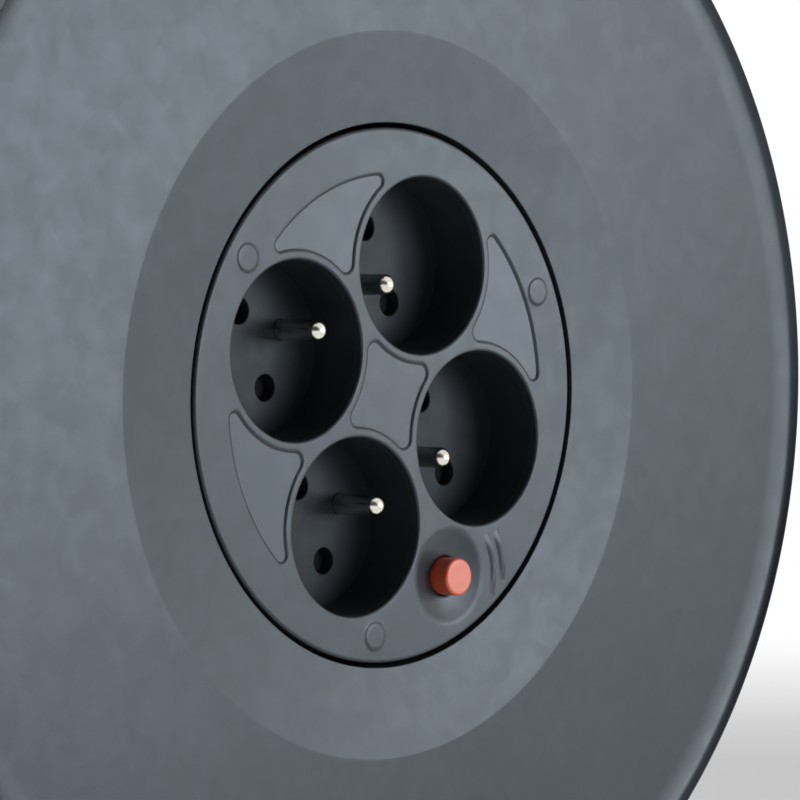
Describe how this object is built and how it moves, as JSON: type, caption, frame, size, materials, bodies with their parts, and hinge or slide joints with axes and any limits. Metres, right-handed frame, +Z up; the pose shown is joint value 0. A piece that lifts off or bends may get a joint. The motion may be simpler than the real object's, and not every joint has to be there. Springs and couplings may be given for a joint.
{
  "type": "extension cord reel",
  "caption": "Extension cord reel: a moulded drum with a turned plate of round socket wells and a reset button, a crank knob, and a bent-tube stand with a grip.",
  "frame": {"origin": "on the floor under the middle of the reel", "axes": "+Z up, sockets face -Y, the drum's axle lies along Y, +X to the right as seen from the sockets"},
  "size_m": [0.2842, 0.188, 0.3731],
  "materials": {
    "slate_plastic": "moulded satin, slate grey",
    "black_plastic": "moulded, fine grain",
    "rubber": "moulded, matt",
    "zinc_tube": "drawn tube, bright zinc",
    "pressed_steel": "black powder coat",
    "zinc_steel": "zinc plated",
    "spring_steel": "oiled",
    "nickel_plate": "nickel plated, polished",
    "brass": "stamped",
    "nylon": "natural nylon",
    "orange_plastic": "moulded, orange red",
    "shutter_plastic": "moulded, black"
  },
  "bodies": {
    "stand": {"stand_tube": "zinc_tube", "axle_plate": "pressed_steel", "axle": "zinc_steel", "axle_nut": "zinc_steel", "axle_washer": "zinc_steel", "retaining_ring": "spring_steel", "plate_bolts": "zinc_steel", "plate_nuts": "zinc_steel", "front_feet": "rubber", "rear_feet": "rubber", "grip_front": "black_plastic", "grip_rear": "black_plastic", "grip_screws": "zinc_steel"},
    "drum": {"front_flange": "slate_plastic", "rear_flange": "slate_plastic", "drum_screws": "zinc_steel", "rear_bush": "nylon", "front_bush": "nylon", "cord_gland": "black_plastic", "gland_nut": "black_plastic", "socket_plate": "slate_plastic", "socket_cup_a": "slate_plastic", "socket_cup_b": "slate_plastic", "socket_cup_c": "slate_plastic", "socket_cup_d": "slate_plastic", "earth_pin_a": "nickel_plate", "earth_pin_b": "nickel_plate", "earth_pin_c": "nickel_plate", "earth_pin_d": "nickel_plate", "contact_carrier": "black_plastic", "carrier_cover": "black_plastic", "carrier_screws": "zinc_steel", "live_bar": "brass", "neutral_bar": "brass", "earth_bar": "brass", "breaker_body": "black_plastic", "breaker_blades": "brass", "button_spring": "spring_steel", "plate_screws": "zinc_steel", "crank_pin": "zinc_steel"},
    "knob": {"crank_knob": "black_plastic"},
    "button": {"reset_button": "orange_plastic"},
    "shutter_a": {"shutter_a": "shutter_plastic"},
    "shutter_b": {"shutter_b": "shutter_plastic"},
    "shutter_c": {"shutter_c": "shutter_plastic"},
    "shutter_d": {"shutter_d": "shutter_plastic"}
  },
  "joints": [
    {"name": "drum_spin", "type": "hinge", "parent": "stand", "child": "drum", "pos_m": [0, 0, 0.163], "axis": [0, 1, 0], "continuous": true},
    {"name": "knob_spin", "type": "hinge", "parent": "drum", "child": "knob", "pos_m": [-0.01997, -0.07, 0.27625], "axis": [0, 1, 0], "continuous": true},
    {"name": "button_push", "type": "slide", "parent": "drum", "child": "button", "axis": [0, 1, 0], "range_m": [-0.0015, 0.0025], "stiffness_N_per_m": 300, "deforming": ["button_spring"]},
    {"name": "shutter_a_slide", "type": "slide", "parent": "drum", "child": "shutter_a", "axis": [-0.9078, 0, -0.4195], "range_m": [0, 0.007], "stiffness_N_per_m": 60},
    {"name": "shutter_b_slide", "type": "slide", "parent": "drum", "child": "shutter_b", "axis": [0.9078, 0, 0.4195], "range_m": [0, 0.007], "stiffness_N_per_m": 60},
    {"name": "shutter_c_slide", "type": "slide", "parent": "drum", "child": "shutter_c", "axis": [0.9078, 0, 0.4195], "range_m": [0, 0.007], "stiffness_N_per_m": 60},
    {"name": "shutter_d_slide", "type": "slide", "parent": "drum", "child": "shutter_d", "axis": [-0.9078, 0, -0.4195], "range_m": [0, 0.007], "stiffness_N_per_m": 60}
  ]
}
